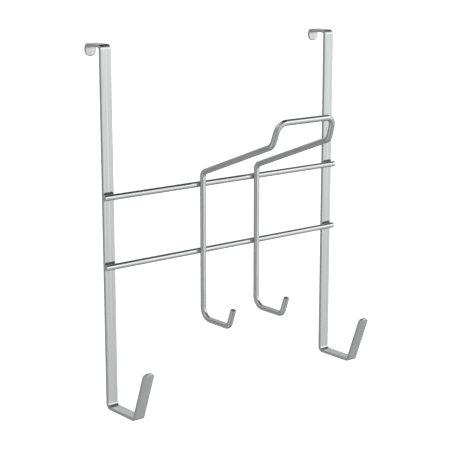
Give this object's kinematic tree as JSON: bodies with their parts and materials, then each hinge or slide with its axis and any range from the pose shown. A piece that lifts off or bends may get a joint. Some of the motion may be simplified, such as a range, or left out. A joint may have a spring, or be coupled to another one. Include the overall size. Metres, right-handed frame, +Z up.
{
  "type": "over-door ironing board hanger",
  "caption": "Over-door hanger: flat steel straps with hooks for an ironing board, joined by round rods that carry a bent wire rest for an iron, with hooks for its cord.",
  "frame": {"origin": "the door's top front edge, midway between the two straps", "axes": "+X to the right as seen from the room, +Y from the room into the door, +Z up"},
  "size_m": [0.3242, 0.1627, 0.3844],
  "materials": {
    "strap_bar": "satin nickel plate over flat bar brushed along its length",
    "round_wire": "satin nickel plate over drawn round wire"
  },
  "bodies": {
    "root": {"left_strap": "strap_bar", "right_strap": "strap_bar", "upper_rod": "round_wire", "lower_rod": "round_wire", "iron_rest": "round_wire"}
  },
  "joints": []
}
